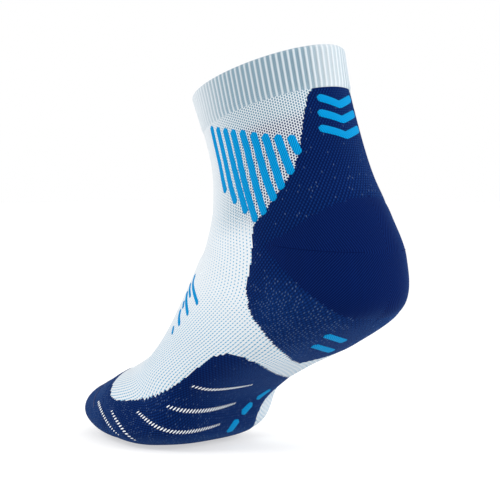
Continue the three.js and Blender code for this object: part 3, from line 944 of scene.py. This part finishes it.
LEG_RIBS = [
    [(0.174, 1.04), (0.172, 1.73), (0.182, 2.35), (0.195, 2.79)],
    [(0.198, 1.16), (0.199, 1.9), (0.212, 2.59), (0.229, 3.16)],
    [(0.222, 1.28), (0.225, 2.0), (0.24, 2.75), (0.257, 3.49)],
    [(0.245, 1.4), (0.249, 2.18), (0.263, 2.97), (0.279, 3.77)],
    [(0.27, 1.51), (0.277, 2.23), (0.288, 2.97), (0.3, 3.66)],
    [(0.297, 1.66), (0.303, 2.23), (0.313, 2.84), (0.325, 3.38)],
    [(0.323, 1.79), (0.332, 2.4), (0.344, 3.16)],
    [(0.35, 1.9), (0.358, 2.37), (0.368, 2.87)],
    [(0.377, 1.99), (0.384, 2.26), (0.391, 2.48)],
]


INSTEP_RIBS = [
    [(0.088, 5.56), (0.093, 5.88), (0.118, 6.15), (0.164, 6.47)],
    [(0.077, 5.96), (0.094, 6.18), (0.121, 6.38)],
    [(0.084, 6.28), (0.113, 6.54), (0.162, 6.86)],
    [(0.1, 6.58), (0.124, 6.8)],
    [(0.112, 6.85), (0.135, 7.08), (0.164, 7.27)],
    [(0.14, 7.41), (0.167, 7.64)],
]
SIDE_BARS = [
    [(0.588, 8.84), (0.572, 9.0), (0.56, 9.12)],
    [(0.55, 9.2), (0.537, 9.32), (0.524, 9.45)],
    [(0.516, 9.56), (0.508, 9.72), (0.503, 9.92)],
]
SIZE_BARS = [[(0.438, 6.55), (0.5, 6.75)], [(0.443, 6.83), (0.516, 7.07)]]
LEG_RIB_WIDTHS = [4.3, 4.4, 4.5, 4.6, 4.7, 4.8, 4.8, 4.8, 4.8]
INSTEP_RIB_WIDTHS = [2.8, 2.3, 2.8, 2.0, 2.6, 2.0]
CHEVRON_WIDTH, SIDE_BAR_WIDTH, SIZE_BAR_WIDTH, RIDGE_WIDTH = 4.4, 6.4, 5.0, 1.0
RIB_HEIGHT, BAR_HEIGHT, RIDGE_HEIGHT = 0.45, 0.4, 0.2


def corner(line):
    """A line whose middle corner stays crisp."""
    a, b, c = (np.array(x) for x in line)
    near = (0.5, 0.92)
    return [a, *(a + (b - a) * x for x in near), b, *(c + (b - c) * x for x in near[::-1]), c]


def both_sides(lines):
    """Each side's name and its lines."""
    return ("outer", lines), ("inner", [[(1 - u, v) for u, v in line] for line in lines])


def marks():
    for side, lines in both_sides(LEG_RIBS):
        piece = raised(f"{side}_leg_ribs", lines, LEG_RIB_WIDTHS, BRIGHT_KNIT, RIB_HEIGHT, 0.6)
        placed(piece, bend_at_ankle, "bright_knit", *numbered(f"{side}_rib", 9))
    chevrons = []
    for k in range(3):
        v, reach = 1.22 + 0.37 * k, 0.052 + 0.005 * k
        chevrons.append(corner([(0.5 - reach, v), (0.5, v + 0.22), (0.5 + reach, v)]))
    widths = [CHEVRON_WIDTH] * 3
    piece = raised("back_chevrons", chevrons, widths, BRIGHT_KNIT, RIB_HEIGHT, ground=NAVY_LIFT)
    placed(piece, ride_leg, "bright_knit", *numbered("back_chevron", 3))
    for side, lines in both_sides(INSTEP_RIBS):
        piece = raised(f"{side}_instep_ribs", lines, INSTEP_RIB_WIDTHS, BRIGHT_KNIT, RIB_HEIGHT)
        placed(piece, bend_at_ankle, "bright_knit", *numbered(f"{side}_instep_rib", 4))
    widths = [SIDE_BAR_WIDTH] * 3
    piece = raised("side_bars", SIDE_BARS, widths, BRIGHT_KNIT, BAR_HEIGHT, 0.35, NAVY_LIFT)
    placed(piece, bend_at_ball, "bright_knit", *numbered("side_bar", 3))
    widths = [SIZE_BAR_WIDTH] * 2
    piece = raised("size_bars", SIZE_BARS, widths, BRIGHT_KNIT, BAR_HEIGHT, 0.5, NAVY_LIFT)
    placed(piece, bend_at_ankle, "bright_knit", *numbered("size_bar", 2))
    for side, lines in both_sides([[tuple(x) for x in GORE[2:-4:6]]]):
        widths = [RIDGE_WIDTH]
        piece = raised(f"{side}_gore_ridge", lines, widths, POUCH_KNIT, RIDGE_HEIGHT, ground=NAVY_LIFT)
        placed(piece, bend_at_ankle, "navy_knit", f"{side}_gore_seam")


# ---------------------------------------------------------------- stitches, yarns and loops


class Growth(Tree):
    """A geometry-node tree that grows something in one yarn on a source piece."""

    def __init__(self, name, **kinds):
        self.tree = bpy.data.node_groups.new(name, "GeometryNodeTree")
        super().__init__(self.tree)
        add = self.tree.interface.new_socket
        for label, kind in {"source": "Geometry", **kinds, "yarn": "Material"}.items():
            add(label, in_out="INPUT", socket_type="NodeSocket" + kind)
        add("grown", in_out="OUTPUT", socket_type="NodeSocketGeometry")
        self.given = self.nodes.new("NodeGroupInput").outputs

    def named(self, name, kind):
        """What give() put on the source's points under this name."""
        return self.add("GeometryNodeInputNamedAttribute", {"Name": name}, data_type=kind)

    def facing(self, axis, way, start=None, pivot="AUTO"):
        inputs = {"Vector": way} if start is None else {"Rotation": start, "Vector": way}
        return self.add("FunctionNodeAlignRotationToVector", inputs, axis=axis, pivot_axis=pivot)

    def turned(self, rotation, angle):
        """A rotation that is turned further about its own z."""
        turn = self.add("FunctionNodeAxisAngleToRotation", {"Axis": (0, 0, 1), "Angle": angle})
        inputs = {"Rotation": rotation, "Rotate By": turn}
        return self.add("FunctionNodeRotateRotation", inputs, rotation_space="LOCAL")

    def finish(self, geometry):
        """The tree, which gives the geometry as one smooth mesh in the yarn's material."""
        real = self.add("GeometryNodeRealizeInstances", {0: geometry})
        shaded = self.add("GeometryNodeSetShadeSmooth", {0: real})
        inputs = {"Geometry": shaded, "Material": self.given["yarn"]}
        painted = self.add("GeometryNodeSetMaterial", inputs)
        self.put(self.nodes.new("NodeGroupOutput").inputs[0], painted)
        return self.tree


def stitch_tree():
    """Small rounded stitches, set slanting along a line."""
    t = Growth("stitch_row", spacing="Float", length="Float", thickness="Float", slant="Float")
    curve = t.add("GeometryNodeMeshToCurve", {0: t.given["source"]})
    inputs = {"Curve": curve, "Length": t.given["spacing"]}
    places = t.add("GeometryNodeResampleCurve", inputs, mode="LENGTH")
    bead = t.add("GeometryNodeMeshUVSphere", {"Segments": 8, "Rings": 5, "Radius": 0.5})
    stand = t.facing("Z", t.named("up", "FLOAT_VECTOR"))
    head = t.facing("X", t.add("GeometryNodeInputTangent"), stand, "Z")
    thick = t.given["thickness"]
    size = t.add("ShaderNodeCombineXYZ", {0: t.given["length"], 1: thick, 2: t.times(thick, 0.8)})
    inputs = {0: size, "Scale": t.named("grow", "FLOAT")}
    size = t.add("ShaderNodeVectorMath", inputs, operation="SCALE")
    rotation = t.turned(head, t.given["slant"])
    inputs = {"Points": places, "Instance": bead, "Rotation": rotation, "Scale": size}
    return t.finish(t.add("GeometryNodeInstanceOnPoints", inputs))


def yarn_tree():
    """A round yarn along each line."""
    t = Growth("round_yarn", radius="Float")
    curve = t.add("GeometryNodeMeshToCurve", {0: t.given["source"]})
    inputs = {"Resolution": 6, "Radius": t.given["radius"]}
    circle = t.add("GeometryNodeCurvePrimitiveCircle", inputs)
    return t.finish(t.add("GeometryNodeCurveToMesh", {"Curve": curve, "Profile Curve": circle}))


def terry_tree():
    """A small loop of terry on every point of a pad's inner face."""
    t = Growth("terry_loops", loop_size="Float", seed="Int")
    loop = t.add("GeometryNodeMeshUVSphere", {"Segments": 6, "Rings": 4, "Radius": 0.5})
    loop = t.add("GeometryNodeTransform", {"Geometry": loop, "Scale": (0.9, 0.45, 0.8)})
    inputs = {0: t.named("loops", "FLOAT"), 1: 0.5}
    chosen = t.add("FunctionNodeCompare", inputs, data_type="FLOAT", operation="GREATER_THAN")
    inputs = {2: 0.0, 3: math.pi, "Seed": t.given["seed"]}
    angle = t.add("FunctionNodeRandomValue", inputs, 1, data_type="FLOAT")
    inputs = {
        "Points": t.given["source"],
        "Selection": chosen,
        "Instance": loop,
        "Rotation": t.turned(t.facing("Z", t.add("GeometryNodeInputNormal")), angle),
        "Scale": t.given["loop_size"],
    }
    loops = t.add("GeometryNodeInstanceOnPoints", inputs)
    both = t.add("GeometryNodeJoinGeometry", {0: loops})
    t.put(both.node.inputs[0], t.given["source"])
    return t.finish(both)


STITCH_TREE = stitch_tree()
YARN_TREE = yarn_tree()
TERRY_TREE = terry_tree()


def grown(name, source, tree, **values):
    """The plain mesh that a tree makes from a source piece, which is then removed."""
    modifier = source.modifiers.new("grow", "NODES")
    modifier.node_group = tree
    for socket in tree.interface.items_tree:
        if socket.in_out == "INPUT" and socket.name in values:
            modifier[socket.identifier] = values[socket.name]
    ready = source.evaluated_get(bpy.context.evaluated_depsgraph_get())
    mesh = bpy.data.meshes.new_from_object(ready)
    mesh.name = name
    made = new_object(name, mesh)
    bpy.data.objects.remove(source)
    return made


def thread(name, lines, closed=False):
    """Lines in millimetres as one mesh of edges; each line is (points, ups, grow)."""
    points, edges, ups, grows = [], [], [], []
    for p, up, grow in lines:
        base = len(points)
        points += list(np.asarray(p) * MM)
        ups.append(up)
        grows.append(grow)
        edges += [(base + k, base + k + 1) for k in range(len(p) - 1)]
        if closed:
            edges.append((base + len(p) - 1, base))
    mesh = bpy.data.meshes.new(name)
    mesh.from_pydata([tuple(map(float, p)) for p in points], edges, [])
    piece = new_object(name, mesh)
    give(piece, "up", np.vstack(ups))
    give(piece, "grow", np.concatenate(grows))
    return piece


def surface_line(line, out, taper):
    """A line on the knit with its outward directions, and how large its stitches are along it."""
    path = rounded(line, 14)
    p = spot(path[:, 0], path[:, 1], np.full(len(path), out))
    t = np.linspace(0, 1, len(path))
    return p, outward(path[:, 0], path[:, 1]), 1 - taper * (2 * np.abs(t - 0.45)) ** 3


# Spacing, length and thickness of a stitch, how far it stands out of the navy knit, and its slant.
ARC_STITCH = (1.8, 3.3, 0.8, 0.12, 60)
SEAM_STITCH = (0.8, 1.5, 0.7, 0.0, 78)
ARCS = [
    [(0.335, 8.61), (0.375, 8.61), (0.42, 8.52), (0.47, 8.41)],
    [(0.312, 9.39), (0.36, 9.32), (0.425, 9.23), (0.482, 9.13)],
    [(0.263, 10.24), (0.302, 10.07), (0.348, 9.9), (0.398, 9.75), (0.455, 9.62)],
    [(0.245, 11.3), (0.285, 11.05), (0.322, 10.95)],
    [(0.222, 12.4), (0.265, 11.9), (0.302, 11.42)],
]


def stitched(name, line, taper, stitch, yarn_material):
    """A row of stitches; stitch is its spacing, length and thickness, out of the knit and slant."""
    spacing, length, thickness, out, slant = stitch
    source = thread(name + "_line", [surface_line(line, NAVY_LIFT + out, taper)])
    sizes = {"spacing": spacing * MM, "length": length * MM, "thickness": thickness * MM}
    slant = math.radians(slant)
    return grown(name, source, STITCH_TREE, **sizes, slant=slant, yarn=yarn_material)


def stitched_arcs():
    """White inlaid arcs round the outer edge of the ball."""
    for k, line in enumerate(ARCS, 1):
        piece = stitched(f"white_arc_stitches_{k}", line, 0.3, ARC_STITCH, WHITE_YARN)
        placed(piece, bend_at_ball, "white_yarn", f"white_arc_{k}")


def toe_seam():
    """The flat linked seam over the toes."""
    half = [(0, 13.0), (0.1, 12.97), (0.2, 12.86), (0.235, 12.75)]
    line = [(-u, v) for u, v in half[:0:-1]] + half
    piece = stitched("toe_linking_seam", line, 0.0, SEAM_STITCH, NAVY_YARN)
    placed(piece, bend_at_ball, "navy_knit", "toe_seam")


ELASTIC_RINGS = 9
ELASTIC_DEPTH = 1.55  # under the outer ply's face
ELASTIC_RADIUS = 0.3


def elastic():
    """Covered elastic yarns that lie between the two plies of the cuff."""
    u = np.arange(120) / 120
    rings = []
    for k in range(ELASTIC_RINGS):
        v = np.full(len(u), 0.12 + 0.1 * k)
        points = spot(u, v, np.full(len(u), -ELASTIC_DEPTH))
        rings.append((points, outward(u, v), np.ones(len(u))))
    source = thread("elastic_lines", rings, closed=True)
    values = {"radius": ELASTIC_RADIUS * MM, "yarn": ELASTIC_YARN}
    placed(grown("elastic_yarns", source, YARN_TREE, **values), ride_leg, "elastic_yarn", "cuff_elastic")


TERRY_GRID = 30
TERRY_THICK, TERRY_EDGE = 1.7, 0.12  # a pad's thickness in the middle and at its edge
TERRY_GAP = 0.45
LOOP_SIZE = 1.5


def cushion(name, v_range, half_width, node, seed, move):
    """A crowned pad of terry on the inner side of the knit, thinning to nothing at its edge."""
    n = TERRY_GRID
    row = n + 1
    s, t = np.meshgrid(np.linspace(-1, 1, row), np.linspace(-1, 1, row))
    square = np.maximum(np.abs(s), np.abs(t)) / np.maximum(np.hypot(s, t), 1e-9)
    x, y = s * square, t * square
    low, high = v_range
    v = (low + high) / 2 + (high - low) / 2 * y
    u = 0.5 + x * np.interp(v, *half_width)
    edge = np.clip(np.hypot(x, y), 0, 1)
    thick = TERRY_THICK * np.sqrt(np.clip(1 - edge**3, 0, 1)) + TERRY_EDGE
    face_out = -(WALL + TERRY_GAP)
    outer, inner = spot(u, v, np.full(u.shape, face_out)), spot(u, v, face_out - thick)
    count = row * row
    points = np.vstack([outer.reshape(-1, 3), inner.reshape(-1, 3)])
    j, i = (k.ravel() for k in np.meshgrid(np.arange(n), np.arange(n), indexing="ij"))
    a = j * row + i
    quad = np.stack([a, a + row, a + row + 1, a + 1], axis=1)
    k = np.arange(n)
    border = np.concatenate([k, n + row * k, row * n + n - k, row * (n - k)])
    after = np.roll(border, -1)
    rim_faces = np.stack([border, after, after + count, border + count], axis=1)
    faces = np.vstack([quad, quad[:, ::-1] + count, rim_faces])
    source = new_piece(name + "_pad", points, faces, TERRY_YARN)
    give(source, "loops", np.concatenate([np.zeros(count), (edge < 0.97).ravel()]))
    piece = grown(name, source, TERRY_TREE, loop_size=LOOP_SIZE * MM, seed=seed, yarn=TERRY_YARN)
    placed(piece, move, "terry", node)


# For each cushion: the v at which its half width, in u, is given.
ACHILLES_HALF = ((1, 2, 2.8, 3.3), (0.06, 0.085, 0.12, 0.155))
HEEL_HALF = ((4.8, 5.9, 6.4, 6.7, 7.1), (0.21, 0.215, 0.18, 0.14, 0.08))
BALL_HALF = ((11.05, 13.2), (0.16, 0.16))


def cushions():
    cushion("achilles_terry", (1.15, 2.85), ACHILLES_HALF, "achilles_cushion", 3, ride_leg)
    cushion("heel_terry", (4.8, 6.9), HEEL_HALF, "heel_cushion", 5, bend_at_ankle)
    cushion("forefoot_terry", (11.05, 13.2), BALL_HALF, "forefoot_cushion", 7, bend_at_ball)


# ---------------------------------------------------------------- studio


def placed_at(made, place, way):
    """Sets an object at a place, with its -z along way."""
    made.location = place
    made.rotation_mode = "QUATERNION"
    made.rotation_quaternion = way.to_track_quat("-Z", "Y")


def area_light(name, place, aim, size, power):
    light = bpy.data.lights.new(name, "AREA")
    light.shape, light.size, light.energy = "DISK", size, power
    placed_at(new_object(name, light), place, Vector(aim) - Vector(place))


def studio():
    scene = bpy.context.scene
    scene.view_settings.view_transform = "Standard"
    world = bpy.data.worlds.new("white_studio")
    world.use_nodes = True
    background = world.node_tree.nodes["Background"]
    background.inputs[0].default_value, background.inputs[1].default_value = (1, 1, 1, 1), 1.0
    scene.world = world
    mesh = bpy.data.meshes.new("floor")
    reach, level = 6.0, -0.0006
    corners = [(-reach, -reach), (reach, -reach), (reach, reach), (-reach, reach)]
    mesh.from_pydata([(x, y, level) for x, y in corners], [], [(0, 1, 2, 3)])
    paper = Finish("studio_paper", 0.9, 0.0, 0.5, (1, 1, 1))
    grain = paper.cloud(0.05)
    paper.put(paper.shader.inputs["Base Color"], paper.mixed(grain, (0.48, 0.48, 0.48), (0.5, 0.5, 0.5)))
    paper.shader.inputs["Emission Color"].default_value = (1, 1, 1, 1)
    paper.shader.inputs["Emission Strength"].default_value = 0.54
    mesh.materials.append(paper.material)
    new_object("studio_floor", mesh)
    middle = (0.06, 0, 0.09)
    area_light("key", (-0.35, -1.1, 0.95), middle, 0.7, 9)
    area_light("rim", (0.95, 0.35, 0.55), middle, 0.5, 7)


def camera():
    turn, rise, away = math.radians(46), math.radians(2.5), 1.0
    middle = Vector((0.0570, -0.0006, 0.109))
    level = math.cos(rise)
    back = Vector((math.sin(turn) * level, -math.cos(turn) * level, math.sin(rise)))
    lens = bpy.data.cameras.new("camera")
    lens.lens, lens.sensor_width = 132.5, 36
    lens.clip_start, lens.clip_end = 0.01, 50
    made = new_object("camera", lens)
    placed_at(made, middle + back * away, -back)
    bpy.context.scene.camera = made


camera()
studio()
leg_and_heel()
forefoot()
cuff()
marks()
stitched_arcs()
toe_seam()
elastic()
cushions()
